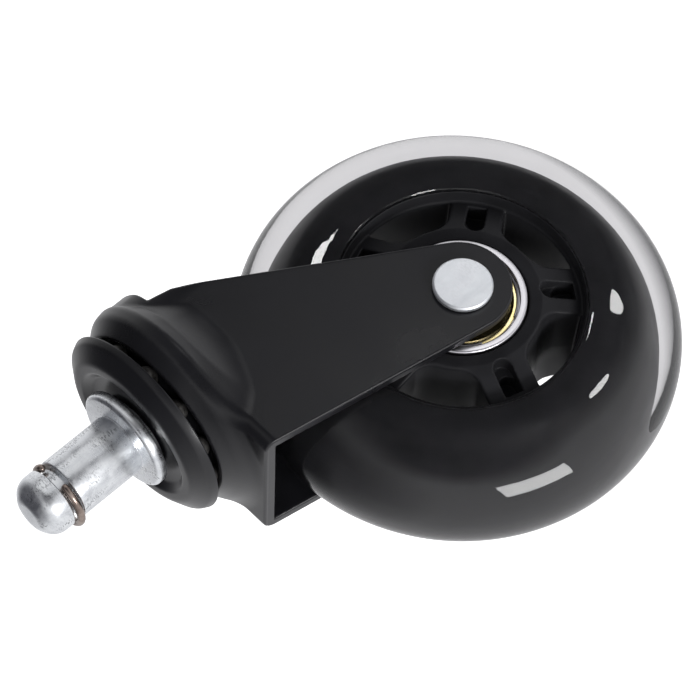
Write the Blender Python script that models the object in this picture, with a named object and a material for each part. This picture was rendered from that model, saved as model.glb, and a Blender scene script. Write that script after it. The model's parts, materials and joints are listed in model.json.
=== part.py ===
"""Chair caster: grip stem, two-row ball swivel, pressed steel fork, clear-tyred ball-bearing wheel.

Metres. The origin is the centre of the shoulder that meets the chair base, +Z runs up the stem,
the wheel turns about an axis along Y and trails towards -X. The near side is -Y.
"""
import math

import bmesh
import bpy
from mathutils import Matrix, Vector

MM = 0.001
MERGE_DISTANCE = 0.001 * MM
SMOOTH_ANGLE = math.radians(32)
FIT_GAP = 0.3 * MM
QUARTER_TURN = math.pi / 2
CUTTER_REACH = 1.5

# Wheel, axle and bearing positions
TRAIL = 23.1 * MM
DROP = 55.3 * MM
WHEEL_RADIUS = 38.0 * MM
WHEEL_HALF_WIDTH = 12.0 * MM
AXLE = Vector((-TRAIL, 0.0, -DROP))

# Stem
STEM_RADIUS = 5.5 * MM
STEM_LENGTH = 21.5 * MM
SHANK_CHAMFER = 0.4 * MM
GROOVE_LOW = 12.8 * MM
GROOVE_HIGH = 14.8 * MM
GROOVE_RADIUS = 4.1 * MM
FLANGE_RADIUS = 9.2 * MM
FLANGE_THICKNESS = 2.1 * MM
FLANGE_ROUNDING = 0.7 * MM
COLLAR_RADIUS = 7.0 * MM
KINGPIN_RADIUS = 5.0 * MM
PEENED_RADIUS = 7.2 * MM
PEENED_THICKNESS = 2.0 * MM

# Grip ring
RING_WIRE_RADIUS = 0.7 * MM
RING_RADIUS = 5.5 * MM
RING_OFFSET = 0.45 * MM
RING_OFFSET_ANGLE = math.radians(115)
RING_GAP_ANGLE = math.radians(44)

# Swivel: two rows of 5/32 inch balls
BALL_RADIUS = 3.969 / 2 * MM
RACE_RADIUS = 2.2 * MM
UPPER_PITCH_RADIUS = 14.0 * MM
UPPER_BALL_HEIGHT = -5.95 * MM
UPPER_BALL_COUNT = 12
LOWER_PITCH_RADIUS = 9.0 * MM
LOWER_BALL_HEIGHT = -11.2 * MM
LOWER_BALL_COUNT = 8
CAP_BORE = 5.4 * MM
CAP_THICKNESS = 1.3 * MM
CAP_FLOOR = -3.4 * MM
CAP_RACE_EDGE = 0.6 * MM
WASHER_TOP = -12.6 * MM
WASHER_BOTTOM = -14.8 * MM
WASHER_RADIUS = 12.0 * MM
WASHER_BORE = 5.4 * MM

# Fork, pressed from one sheet
SHEET = 2.1 * MM
FORK_HALF_WIDTH = 14.6 * MM
FORK_FRONT_RADIUS = 18.5 * MM
FORK_REAR = 22.7 * MM
CROWN_TOP = -11.2 * MM
CROWN_BEND = 2.0 * MM
FORK_BORE = 6.6 * MM
RACE_TOP = -7.3 * MM
SKIRT_BOTTOM = -16.2 * MM
LEG_TIP_RADIUS = 8.6 * MM
LEG_FRONT = Vector((7.3 * MM, -24.6 * MM))
SKIRT_CORNER = Vector((10.9 * MM, SKIRT_BOTTOM))
SKIRT_BEND = Vector((9.8 * MM, -20.4 * MM))
AXLE_HOLE_RADIUS = 4.0 * MM
LEG_BOSS_RADIUS = 6.2 * MM
LEG_BOSS_RISE = 0.2 * MM

# Axle rivet and bearing spacer
RIVET_SHANK_RADIUS = 3.65 * MM
RIVET_HEAD_RADIUS = 5.2 * MM
RIVET_HEAD_THICKNESS = 1.4 * MM
RIVET_HEAD_ROUNDING = 1.0 * MM
RIVET_TAIL_RADIUS = 4.9 * MM
RIVET_TAIL_ROUNDING = 0.9 * MM
SPACER_INNER_RADIUS = 4.0 * MM
SPACER_OUTER_RADIUS = 5.7 * MM

# 608 ball bearing: 8 mm bore, 22 mm outside, 7 mm wide
BEARING_RADIUS = 11.0 * MM
BEARING_BORE = 4.0 * MM
BEARING_WIDTH = 7.0 * MM
BEARING_PITCH_RADIUS = 7.5 * MM
BEARING_BALL_COUNT = 7
BEARING_CENTRE = WHEEL_HALF_WIDTH - BEARING_WIDTH / 2
OUTER_SHOULDER = 9.2 * MM
OUTER_GROOVE = 9.75 * MM
OUTER_SEAT = 9.75 * MM
INNER_SHOULDER = 5.8 * MM
INNER_GROOVE = 5.3 * MM
GROOVE_HALF_WIDTH = 1.5 * MM
RING_CHAMFER = 0.3 * MM
SEAT_DEPTH = 1.1 * MM
SHIELD_INNER_RADIUS = 6.2 * MM
SHIELD_OUTER_RADIUS = 9.4 * MM
SHIELD_THICKNESS = 0.2 * MM
SHIELD_RECESS = 0.8 * MM
SHIELD_DISH = 0.15 * MM
CLIP_CLEARANCE = 0.1 * MM
CLIP_RADIUS = 9.2 * MM
CLIP_WIRE_RADIUS = 0.17 * MM
CLIP_GAP_ANGLE = math.radians(50)
CAGE_INNER_RADIUS = 6.9 * MM
CAGE_OUTER_RADIUS = 8.1 * MM
CAGE_BACK = 2.4 * MM
CAGE_FRONT = 0.5 * MM
POCKET_RADIUS = 2.15 * MM

# Wheel core
SEAT_RADIUS = 11.3 * MM
HUB_STOP_RADIUS = 9.8 * MM
HUB_STOP_HALF_WIDTH = 4.7 * MM
HUB_RADIUS = 13.4 * MM
HUB_FACE = 11.7 * MM
SPOKE_FACE = 9.3 * MM
RIM_BORE_RADIUS = 20.4 * MM
OPENING_RADIUS = 20.8 * MM
OPENING_FACE = 11.6 * MM
RIM_LIP_RADIUS = 21.1 * MM
RIM_LIP_STEP = 0.2 * MM
RIM_KNEE_RADIUS = 23.0 * MM
RIM_HALF_WIDTH = 10.9 * MM
RIM_RADIUS = 30.9 * MM
SPOKE_COUNT = 5
SPOKE_HALF_WIDTH = 4.85 * MM
FIRST_SPOKE_ANGLE = math.radians(90)
WINDOW_INNER_RADIUS = 13.9 * MM
WINDOW_OUTER_RADIUS = 20.2 * MM
WINDOW_ROUNDING = 2.0 * MM
WINDOW_DRAFT = 0.35 * MM
WINDOW_CORNERS = (0, 2, 3, 7)
SLOT_HALF_WIDTH = 1.6 * MM
SLOT_START_RADIUS = 14.9 * MM
SLOT_STEP_RADIUS = 16.9 * MM
SLOT_END_RADIUS = 19.2 * MM
SLOT_FLOOR = 8.9 * MM
SLOT_DEEP_FLOOR = 6.6 * MM

# Tyre: a superellipse section about the side wall's widest circle
TYRE_SIDE_RADIUS = 24.0 * MM
TYRE_EXPONENT = 2.1
TYRE_EDGE_RADIUS = 21.7 * MM
TYRE_EDGE_HALF_WIDTH = 11.8 * MM
TYRE_ROOT_HALF_WIDTH = 11.38 * MM

# Turned outlines as (radius, height) in millimetres
CAP_TOP = (
    (5.4, -3.4), (10.6, -3.4), (12.0, -2.7), (13.2, -2.45), (14.6, -2.75),
    (16.5, -3.95), (17.4, -4.6), (17.7, -5.3), (17.4, -5.6), (16.5, -5.5))
BELL_SIDE = (
    (16.9, -7.5), (17.4, -8.1), (17.9, -9.5), (18.5, -10.6), (18.9, -11.8),
    (18.4, -13.1), (17.0, -14.6), (14.2, -17.2), (0, -17.2))
BELL_HOLLOW = (
    (11.8, -9.4), (13.2, -10.2), (15.2, -10.2), (15.8, -11.0), (16.4, -12.2),
    (15.4, -13.6), (12.1, -16.4), (0, -16.4))

# Facets
WHEEL_FACETS = 30
SWIVEL_FACETS = 28
STEM_FACETS = 20
BEARING_FACETS = 20
SMALL_FACETS = 16


def clear_scene():
    for old in list(bpy.data.objects):
        bpy.data.objects.remove(old, do_unlink=True)


def make_material(name, colour, roughness, metallic=0.0, transmission=0.0):
    material = bpy.data.materials.new(name)
    material.use_nodes = True
    shader = material.node_tree.nodes["Principled BSDF"]
    shader.inputs["Base Color"].default_value = (*colour, 1.0)
    shader.inputs["Roughness"].default_value = roughness
    shader.inputs["Metallic"].default_value = metallic
    shader.inputs["Transmission Weight"].default_value = transmission
    material.diffuse_color = (*colour, 1.0)
    return material


def make_axis(name, location):
    """An empty whose Y or Z line is the axis that its children turn about."""
    empty = bpy.data.objects.new(name, None)
    empty.location = location
    bpy.context.collection.objects.link(empty)
    return empty


def add_object(name, bm, parent, material=None, location=(0, 0, 0)):
    """Turn a bmesh into a smooth-shaded object placed relative to its parent."""
    bmesh.ops.recalc_face_normals(bm, faces=bm.faces)
    mesh = bpy.data.meshes.new(name)
    bm.to_mesh(mesh)
    bm.free()
    mesh.shade_smooth()
    mesh.set_sharp_from_angle(angle=SMOOTH_ANGLE)
    if material:
        mesh.materials.append(material)
    piece = bpy.data.objects.new(name, mesh)
    piece.parent = parent
    piece.location = location
    bpy.context.collection.objects.link(piece)
    return piece


def turned(profile, facets, axis="Z", closed=True):
    """Spin (radius, height) points about an axis.

    A closed profile gives a ring. An open one starts and ends on the axis and gives a solid.
    """
    bm = bmesh.new()
    if axis == "Z":
        points = [(radius, 0, height) for radius, height in profile]
        direction = (0, 0, 1)
    else:
        points = [(radius, height, 0) for radius, height in profile]
        direction = (0, 1, 0)
    verts = [bm.verts.new(point) for point in points]
    edges = [bm.edges.new(pair) for pair in zip(verts, verts[1:])]
    if closed:
        edges.append(bm.edges.new((verts[-1], verts[0])))
    bmesh.ops.spin(bm, geom=verts + edges, cent=(0, 0, 0), axis=direction, angle=2 * math.pi, steps=facets)
    bmesh.ops.remove_doubles(bm, verts=bm.verts, dist=MERGE_DISTANCE)
    return bm


def bent_wire(ring_radius, wire_radius, gap_angle, middle_angle, facets, sides, axis="Z"):
    """An open ring of round wire, its gap centred opposite the middle angle."""
    bm = bmesh.new()
    half_sweep = math.pi - gap_angle / 2
    loops = []
    for step in range(facets + 1):
        turn = middle_angle - half_sweep + 2 * half_sweep * step / facets
        outward = Vector((math.cos(turn), math.sin(turn), 0))
        loop = []
        for side in range(sides):
            around = 2 * math.pi * side / sides
            point = outward * (ring_radius + wire_radius * math.cos(around))
            point.z = wire_radius * math.sin(around)
            loop.append(bm.verts.new(point))
        loops.append(loop)
    for first, second in zip(loops, loops[1:]):
        for side in range(sides):
            after = (side + 1) % sides
            bm.faces.new((first[side], first[after], second[after], second[side]))
    bm.faces.new(loops[0])
    bm.faces.new(loops[-1])
    if axis == "Y":
        bmesh.ops.rotate(bm, verts=bm.verts, matrix=Matrix.Rotation(QUARTER_TURN, 3, "X"))
    return bm


def prism(outline, low, high, axis="Z"):
    """Extrude a closed outline of (u, v) points from low to high along an axis."""
    bm = bmesh.new()
    if axis == "Z":
        base = [bm.verts.new((u, v, low)) for u, v in outline]
        travel = Vector((0, 0, high - low))
    else:
        base = [bm.verts.new((u, low, v)) for u, v in outline]
        travel = Vector((0, high - low, 0))
    face = bm.faces.new(base)
    extruded = bmesh.ops.extrude_face_region(bm, geom=[face])
    moved = [item for item in extruded["geom"] if isinstance(item, bmesh.types.BMVert)]
    bmesh.ops.translate(bm, verts=moved, vec=travel)
    return bm


def arc(centre, radius, start, end, count):
    """Points on an arc, both ends included."""
    turns = [start + (end - start) * step / (count - 1) for step in range(count)]
    return [(centre[0] + radius * math.cos(turn), centre[1] + radius * math.sin(turn)) for turn in turns]


def cut(piece, cutter, operation="DIFFERENCE"):
    """Apply a Boolean to a piece with a helper that stays out of the model."""
    cutter.hide_render = True
    cutter.display_type = "WIRE"
    modifier = piece.modifiers.new(operation.lower(), "BOOLEAN")
    modifier.operation = operation
    modifier.solver = "EXACT"
    modifier.object = cutter


def tangent_point(start, centre, radius, side):
    """Where the tangent from a point touches a circle, on the given side of the line to its centre."""
    towards = centre - start
    swing = math.asin(radius / towards.length) * side
    length = math.sqrt(towards.length ** 2 - radius ** 2)
    direction = Matrix.Rotation(swing, 2) @ towards.normalized()
    return start + direction * length


def in_metres(outline):
    return [(radius * MM, height * MM) for radius, height in outline]


def build_stem(parent, zinc):
    dome_height = STEM_LENGTH - STEM_RADIUS
    dome = arc((0, dome_height), STEM_RADIUS, math.pi / 2, 0, 6)
    flange_bottom = -FLANGE_THICKNESS
    kingpin_end = WASHER_BOTTOM - FIT_GAP
    head_bottom = kingpin_end - PEENED_THICKNESS
    profile = dome + [
        (STEM_RADIUS, GROOVE_HIGH + SHANK_CHAMFER),
        (STEM_RADIUS - SHANK_CHAMFER, GROOVE_HIGH),
        (GROOVE_RADIUS, GROOVE_HIGH),
        (GROOVE_RADIUS, GROOVE_LOW),
        (STEM_RADIUS - SHANK_CHAMFER, GROOVE_LOW),
        (STEM_RADIUS, GROOVE_LOW - SHANK_CHAMFER),
        (STEM_RADIUS, 0),
        (FLANGE_RADIUS - FLANGE_ROUNDING, 0),
        (FLANGE_RADIUS, -FLANGE_ROUNDING),
        (FLANGE_RADIUS, flange_bottom + FLANGE_ROUNDING / 2),
        (FLANGE_RADIUS - FLANGE_ROUNDING / 2, flange_bottom),
        (COLLAR_RADIUS, flange_bottom),
        (COLLAR_RADIUS, CAP_FLOOR + FIT_GAP),
        (KINGPIN_RADIUS, CAP_FLOOR + FIT_GAP),
        (KINGPIN_RADIUS, kingpin_end),
        (PEENED_RADIUS, kingpin_end),
        (PEENED_RADIUS, kingpin_end - PEENED_THICKNESS / 3),
        (PEENED_RADIUS * 0.6, head_bottom),
        (0, head_bottom),
    ]
    return add_object("stem", turned(profile, STEM_FACETS, closed=False), parent, zinc)


def build_grip_ring(parent, spring_steel):
    wire = bent_wire(RING_RADIUS, RING_WIRE_RADIUS, RING_GAP_ANGLE, RING_OFFSET_ANGLE, 20, 6)
    offset = Vector((math.cos(RING_OFFSET_ANGLE), math.sin(RING_OFFSET_ANGLE), 0)) * RING_OFFSET
    bmesh.ops.translate(wire, verts=wire.verts, vec=offset)
    add_object("grip_ring", wire, parent, spring_steel, (0, 0, (GROOVE_LOW + GROOVE_HIGH) / 2))


def race_arc(pitch_radius, ball_height, start_degrees, end_degrees, count=5):
    """The (radius, height) points of a raceway groove around a ball row."""
    start = math.radians(start_degrees)
    end = math.radians(end_degrees)
    return arc((pitch_radius, ball_height), RACE_RADIUS, start, end, count)


def build_swivel_cap(parent, black_paint):
    race = race_arc(UPPER_PITCH_RADIUS, UPPER_BALL_HEIGHT, 40, 140)
    underside = CAP_FLOOR - CAP_THICKNESS
    inner = [(race[-1][0] - CAP_RACE_EDGE, underside), (CAP_BORE, underside)]
    add_object("swivel_cap", turned(in_metres(CAP_TOP) + race + inner, SWIVEL_FACETS), parent, black_paint)


def build_lower_race(parent, zinc):
    edge = 0.4 * MM
    race = race_arc(LOWER_PITCH_RADIUS, LOWER_BALL_HEIGHT, -140, -40)
    profile = [(WASHER_BORE, WASHER_TOP)] + race + [
        (WASHER_RADIUS - edge, WASHER_TOP),
        (WASHER_RADIUS, WASHER_TOP - edge),
        (WASHER_RADIUS, WASHER_BOTTOM),
        (WASHER_BORE, WASHER_BOTTOM),
    ]
    add_object("lower_race_washer", turned(profile, STEM_FACETS), parent, zinc)


def build_ball_row(name, count, pitch_radius, height, parent, steel, axis="Z"):
    """A row of balls evenly spaced about the parent's axis, all sharing one mesh."""
    shared = None
    for index in range(count):
        turn = 2 * math.pi * index / count
        across = Vector((math.cos(turn), math.sin(turn), 0)) * pitch_radius
        place = Vector((across.x, across.y, height)) if axis == "Z" else Vector((across.x, height, across.y))
        label = f"{name}_{index + 1:02d}"
        if shared is None:
            bm = bmesh.new()
            bmesh.ops.create_uvsphere(bm, u_segments=8, v_segments=5, radius=BALL_RADIUS)
            shared = add_object(label, bm, parent, steel, place).data
            continue
        ball = bpy.data.objects.new(label, shared)
        ball.parent = parent
        ball.location = place
        bpy.context.collection.objects.link(ball)


def d_outline(half_width, front_radius, rear):
    """The fork's plan: a round front, flat sides and a square rear."""
    corner = math.asin(half_width / front_radius)
    front = arc((0, 0), front_radius, -corner, corner, 13)
    return front + [(-rear, half_width), (-rear, -half_width)]


def side_outline():
    """The fork's side view, as (x, z): skirt, leading edge, round tip and trailing edge."""
    centre = Vector((AXLE.x, AXLE.z))
    rear_top = Vector((-FORK_REAR, CROWN_TOP - SHEET / 4))
    lead = tangent_point(LEG_FRONT, centre, LEG_TIP_RADIUS, 1)
    trail = tangent_point(rear_top, centre, LEG_TIP_RADIUS, -1)
    lead_turn = math.atan2(lead.y - centre.y, lead.x - centre.x)
    trail_turn = math.atan2(trail.y - centre.y, trail.x - centre.x) - 2 * math.pi
    tip = arc(centre, LEG_TIP_RADIUS, lead_turn, trail_turn, 15)
    beyond = FORK_FRONT_RADIUS * CUTTER_REACH
    return [
        (beyond, 0),
        (beyond, SKIRT_BOTTOM),
        tuple(SKIRT_CORNER),
        tuple(SKIRT_BEND),
        tuple(LEG_FRONT),
        *tip,
        tuple(rear_top),
        (-FORK_REAR, 0),
    ]


def bell_outer_profile():
    """Raceway, rim and flared side of the fork's head, closed down the stem axis."""
    race = race_arc(UPPER_PITCH_RADIUS, UPPER_BALL_HEIGHT, -142, -45)
    return [(0, RACE_TOP)] + race + in_metres(BELL_SIDE)


def bell_inner_profile():
    """The hollow under the raceway: the outside moved in by the sheet's thickness."""
    race = race_arc(LOWER_PITCH_RADIUS, LOWER_BALL_HEIGHT, 125, 55)
    return [(0, RACE_TOP - SHEET)] + race + in_metres(BELL_HOLLOW)


def channel(name, half_width, front_radius, rear, top, bottom, bend, parent):
    """The crown and both legs as one block, its top edge rolled to the bend radius."""
    bm = prism(d_outline(half_width, front_radius, rear), bottom, top)
    reach = rear - MERGE_DISTANCE
    rolled = []
    for edge in bm.edges:
        ends = edge.verts
        on_top = all(vert.co.z > top - MERGE_DISTANCE for vert in ends)
        on_rear = all(vert.co.x < -reach for vert in ends)
        if on_top and not on_rear:
            rolled.append(edge)
    bmesh.ops.bevel(bm, geom=rolled, offset=bend, segments=3, profile=0.5, affect="EDGES")
    return add_object(name, bm, parent)


def build_fork(parent, black_paint):
    depth = -DROP - 2 * LEG_TIP_RADIUS
    overlong = TRAIL + 2 * LEG_TIP_RADIUS
    fork = channel("fork", FORK_HALF_WIDTH, FORK_FRONT_RADIUS, overlong, CROWN_TOP, depth, CROWN_BEND, parent)
    fork.data.materials.append(black_paint)
    bell = add_object("bell_shape", turned(bell_outer_profile(), SWIVEL_FACETS, closed=False), parent)
    cut(fork, bell, "UNION")
    inside = channel(
        "channel_hollow", FORK_HALF_WIDTH - SHEET, FORK_FRONT_RADIUS - SHEET, overlong * CUTTER_REACH,
        CROWN_TOP - SHEET, depth * CUTTER_REACH, CROWN_BEND / 4, parent)
    bell_hollow = add_object("bell_hollow", turned(bell_inner_profile(), SWIVEL_FACETS, closed=False), parent)
    cut(inside, bell_hollow, "UNION")
    cut(fork, inside)
    beyond = FORK_FRONT_RADIUS * CUTTER_REACH
    side = prism(side_outline(), -beyond, beyond, axis="Y")
    cut(fork, add_object("side_shape", side, parent), "INTERSECT")
    for label, sign in (("near", -1), ("far", 1)):
        face = sign * (FORK_HALF_WIDTH - SHEET - LEG_BOSS_RISE)
        root = sign * (FORK_HALF_WIDTH - SHEET / 2)
        boss = [(0, face), (LEG_BOSS_RADIUS, face), (LEG_BOSS_RADIUS, root), (0, root)]
        pad = add_object(label + "_boss", turned(boss, STEM_FACETS, "Y", closed=False), parent, location=AXLE)
        cut(fork, pad, "UNION")
    bore = [(0, 0), (FORK_BORE, 0), (FORK_BORE, CROWN_TOP * 2), (0, CROWN_TOP * 2)]
    cut(fork, add_object("king_bore", turned(bore, STEM_FACETS, closed=False), parent))
    reach = FORK_HALF_WIDTH * 2
    hole = [(0, reach), (AXLE_HOLE_RADIUS, reach), (AXLE_HOLE_RADIUS, -reach), (0, -reach)]
    cut(fork, add_object("axle_hole", turned(hole, SMALL_FACETS, "Y", closed=False), parent, location=AXLE))


def build_axle_rivet(parent, zinc):
    head_low = -FORK_HALF_WIDTH - FIT_GAP
    tail_low = FORK_HALF_WIDTH + FIT_GAP
    head_top = head_low - RIVET_HEAD_THICKNESS
    tail_top = tail_low + RIVET_HEAD_THICKNESS
    head_centre = (RIVET_HEAD_RADIUS - RIVET_HEAD_ROUNDING, head_top + RIVET_HEAD_ROUNDING)
    tail_centre = (RIVET_TAIL_RADIUS - RIVET_TAIL_ROUNDING, tail_top - RIVET_TAIL_ROUNDING)
    profile = [
        (0, head_top),
        *arc(head_centre, RIVET_HEAD_ROUNDING, -QUARTER_TURN, 0, 4),
        (RIVET_HEAD_RADIUS, head_low),
        (RIVET_SHANK_RADIUS, head_low),
        (RIVET_SHANK_RADIUS, tail_low),
        (RIVET_TAIL_RADIUS, tail_low),
        *arc(tail_centre, RIVET_TAIL_ROUNDING, 0, QUARTER_TURN, 4),
        (0, tail_top),
    ]
    add_object("axle_rivet", turned(profile, SMALL_FACETS, "Y", closed=False), parent, zinc)


def build_spacer(parent, zinc):
    half = WHEEL_HALF_WIDTH - BEARING_WIDTH - FIT_GAP
    profile = [
        (SPACER_OUTER_RADIUS, half),
        (SPACER_OUTER_RADIUS, -half),
        (SPACER_INNER_RADIUS, -half),
        (SPACER_INNER_RADIUS, half),
    ]
    add_object("bearing_spacer", turned(profile, SMALL_FACETS, "Y"), parent, zinc)


def outer_ring_profile(half, seat):
    """Section of a bearing's outer ring: ball groove, shoulders, and a seat for each shield."""
    upper = [
        (OUTER_GROOVE, 0.4 * MM),
        (OUTER_SHOULDER, GROOVE_HALF_WIDTH),
        (OUTER_SHOULDER, seat),
        (OUTER_SEAT, seat),
        (OUTER_SEAT, half),
        (BEARING_RADIUS - RING_CHAMFER, half),
        (BEARING_RADIUS, half - RING_CHAMFER),
    ]
    return upper + [(radius, -height) for radius, height in reversed(upper)]


def inner_ring_profile(half):
    """Section of a bearing's inner ring: ball groove outside, axle bore inside."""
    upper = [
        (INNER_GROOVE, 0.4 * MM),
        (INNER_SHOULDER, GROOVE_HALF_WIDTH),
        (INNER_SHOULDER, half),
        (BEARING_BORE, half),
    ]
    return upper + [(radius, -height) for radius, height in reversed(upper)]


def shield_profile(outward):
    """Section of a dished shield; outward is +1 or -1 along the axle."""
    front = outward * SHIELD_THICKNESS
    dish = -outward * SHIELD_DISH
    middle = (SHIELD_INNER_RADIUS + SHIELD_OUTER_RADIUS) / 2
    return [
        (SHIELD_INNER_RADIUS, dish),
        (middle, dish),
        (SHIELD_OUTER_RADIUS, 0),
        (SHIELD_OUTER_RADIUS, front),
        (middle, front + dish),
        (SHIELD_INNER_RADIUS, front + dish),
    ]


def build_cage(name, sign, parent, nylon, centre):
    """A snap-in cage: a ring behind the balls with open pockets."""
    back = -sign * CAGE_BACK
    front = sign * CAGE_FRONT
    section = [
        (CAGE_OUTER_RADIUS, back),
        (CAGE_OUTER_RADIUS, front),
        (CAGE_INNER_RADIUS, front),
        (CAGE_INNER_RADIUS, back),
    ]
    cage = add_object(name, turned(section, 28, "Y"), parent, nylon, centre)
    pockets = bmesh.new()
    for index in range(BEARING_BALL_COUNT):
        turn = 2 * math.pi * index / BEARING_BALL_COUNT
        place = Matrix.Rotation(-turn, 4, "Y") @ Matrix.Translation((BEARING_PITCH_RADIUS, 0, 0))
        bmesh.ops.create_cone(
            pockets, cap_ends=True, segments=12, radius1=POCKET_RADIUS, radius2=POCKET_RADIUS,
            depth=2 * (CAGE_OUTER_RADIUS - CAGE_INNER_RADIUS),
            matrix=place @ Matrix.Rotation(QUARTER_TURN, 4, "Y"))
    cut(cage, add_object(name + "_pockets", pockets, parent, location=centre))


def build_bearing(side, sign, spin, fixed, rolling, steel, gilt, nylon):
    """One bearing: rings, balls, cage, and a shield with its wire clip on each face."""
    centre = (0, sign * BEARING_CENTRE, 0)
    half = BEARING_WIDTH / 2
    outer = turned(outer_ring_profile(half, half - SEAT_DEPTH), BEARING_FACETS, "Y")
    add_object(side + "_outer_ring", outer, spin, steel, centre)
    inner = turned(inner_ring_profile(half), SMALL_FACETS, "Y")
    add_object(side + "_inner_ring", inner, fixed, steel, centre)
    build_ball_row(side + "_ball", BEARING_BALL_COUNT, BEARING_PITCH_RADIUS, centre[1], rolling, steel, "Y")
    build_cage(side + "_cage", sign, rolling, nylon, centre)
    for face, outward in (("outboard", sign), ("inboard", -sign)):
        shield_at = centre[1] + outward * (half - SHIELD_RECESS)
        label = side + "_" + face
        shield = turned(shield_profile(outward), SMALL_FACETS, "Y")
        add_object(label + "_shield", shield, spin, gilt, (0, shield_at, 0))
        clip_at = shield_at + outward * (SHIELD_THICKNESS + CLIP_CLEARANCE + CLIP_WIRE_RADIUS)
        clip = bent_wire(CLIP_RADIUS, CLIP_WIRE_RADIUS, CLIP_GAP_ANGLE, 0, 16, 4, "Y")
        add_object(label + "_clip", clip, spin, steel, (0, clip_at, 0))


def rim_curve(knee, crown, half_width, count):
    """A superellipse from the knee circle out to the crown and back, as (radius, width) points."""
    points = []
    for step in range(count):
        turn = math.pi * step / (count - 1)
        across = math.cos(turn)
        radius = knee + (crown - knee) * math.sin(turn) ** (2 / TYRE_EXPONENT)
        width = math.copysign(half_width * abs(across) ** (2 / TYRE_EXPONENT), across)
        points.append((radius, width))
    return points


def wheel_section():
    """Section of the core before its windows are cut: bearing seat, hub, web and rim."""
    upper = [
        (HUB_STOP_RADIUS, HUB_STOP_HALF_WIDTH),
        (SEAT_RADIUS, HUB_STOP_HALF_WIDTH),
        (SEAT_RADIUS, HUB_FACE),
        (HUB_RADIUS, HUB_FACE),
        (RIM_BORE_RADIUS, SPOKE_FACE),
        (OPENING_RADIUS, OPENING_FACE),
        (RIM_LIP_RADIUS, OPENING_FACE),
        (RIM_LIP_RADIUS + RIM_LIP_STEP, RIM_HALF_WIDTH + RIM_LIP_STEP / 2),
    ]
    lower = [(radius, -width) for radius, width in reversed(upper)]
    return upper + rim_curve(RIM_KNEE_RADIUS, RIM_RADIUS, RIM_HALF_WIDTH, 11) + lower


def window_outline(inset):
    """One window between two spokes: straight flanks along the spokes, round hub and rim sides."""
    flank = SPOKE_HALF_WIDTH + inset
    half_sector = math.pi / SPOKE_COUNT
    hub_side = WINDOW_INNER_RADIUS + inset
    rim_side = WINDOW_OUTER_RADIUS - inset
    hub_reach = half_sector - math.asin(flank / hub_side)
    rim_reach = half_sector - math.asin(flank / rim_side)
    return arc((0, 0), hub_side, -hub_reach, hub_reach, 3) + arc((0, 0), rim_side, rim_reach, -rim_reach, 5)


def gathered(shapes):
    """One bmesh holding separate shapes, each turned about Y by its own angle."""
    together = bmesh.new()
    for shape, turn in shapes:
        bmesh.ops.rotate(shape, verts=shape.verts, matrix=Matrix.Rotation(-turn, 3, "Y"))
        mesh = bpy.data.meshes.new("shape")
        shape.to_mesh(mesh)
        shape.free()
        together.from_mesh(mesh)
        bpy.data.meshes.remove(mesh)
    return together


def window_shape():
    """A cutter for one window, narrowest at the wheel's middle plane."""
    bm = bmesh.new()
    reach = WHEEL_HALF_WIDTH * CUTTER_REACH
    loops = []
    for height, inset in ((-reach, 0), (0, WINDOW_DRAFT), (reach, 0)):
        loops.append([bm.verts.new((x, height, z)) for x, z in window_outline(inset)])
    corners = []
    for low, high in zip(loops, loops[1:]):
        for start in range(len(low)):
            after = (start + 1) % len(low)
            bm.faces.new((low[start], low[after], high[after], high[start]))
        corners += [bm.edges.get((low[corner], high[corner])) for corner in WINDOW_CORNERS]
    bm.faces.new(loops[0])
    bm.faces.new(loops[-1])
    bmesh.ops.bevel(bm, geom=corners, offset=WINDOW_ROUNDING, segments=2, profile=0.5, affect="EDGES")
    return bm


def spoke_angle(index):
    return FIRST_SPOKE_ANGLE + 2 * math.pi * index / SPOKE_COUNT


def build_windows(parent):
    shapes = [(window_shape(), spoke_angle(index + 0.5)) for index in range(SPOKE_COUNT)]
    return add_object("window_cutters", gathered(shapes), parent)


def build_slots(name, start_radius, floor, parent):
    """Cutters for the round-ended slots along every spoke, on both faces of the wheel."""
    outline = arc((start_radius, 0), SLOT_HALF_WIDTH, math.pi / 2, 3 * math.pi / 2, 7)
    outline += [(SLOT_END_RADIUS, -SLOT_HALF_WIDTH), (SLOT_END_RADIUS, SLOT_HALF_WIDTH)]
    shapes = []
    for index in range(SPOKE_COUNT):
        for sign in (-1, 1):
            slot = prism(outline, sign * floor, sign * WHEEL_HALF_WIDTH * CUTTER_REACH, axis="Y")
            shapes.append((slot, spoke_angle(index)))
    return add_object(name, gathered(shapes), parent)


def build_wheel_core(parent, black_nylon):
    core = add_object("wheel_core", turned(wheel_section(), WHEEL_FACETS, "Y"), parent, black_nylon)
    cut(core, build_windows(parent))
    cut(core, build_slots("slot_cutters", SLOT_START_RADIUS, SLOT_FLOOR, parent))
    cut(core, build_slots("slot_deep_cutters", SLOT_STEP_RADIUS, SLOT_DEEP_FLOOR, parent))


def build_tyre(parent, clear_rubber):
    """A clear ring moulded over the rim, thickest at the tread."""
    outer = rim_curve(TYRE_SIDE_RADIUS, WHEEL_RADIUS, WHEEL_HALF_WIDTH, 13)
    inner = rim_curve(RIM_KNEE_RADIUS, RIM_RADIUS + FIT_GAP, RIM_HALF_WIDTH + FIT_GAP, 9)
    edge = [(TYRE_EDGE_RADIUS, TYRE_ROOT_HALF_WIDTH), (TYRE_EDGE_RADIUS, TYRE_EDGE_HALF_WIDTH)]
    profile = edge + outer + [(radius, -width) for radius, width in reversed(edge)]
    profile += list(reversed(inner))
    add_object("tyre", turned(profile, WHEEL_FACETS, "Y"), parent, clear_rubber)


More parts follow.
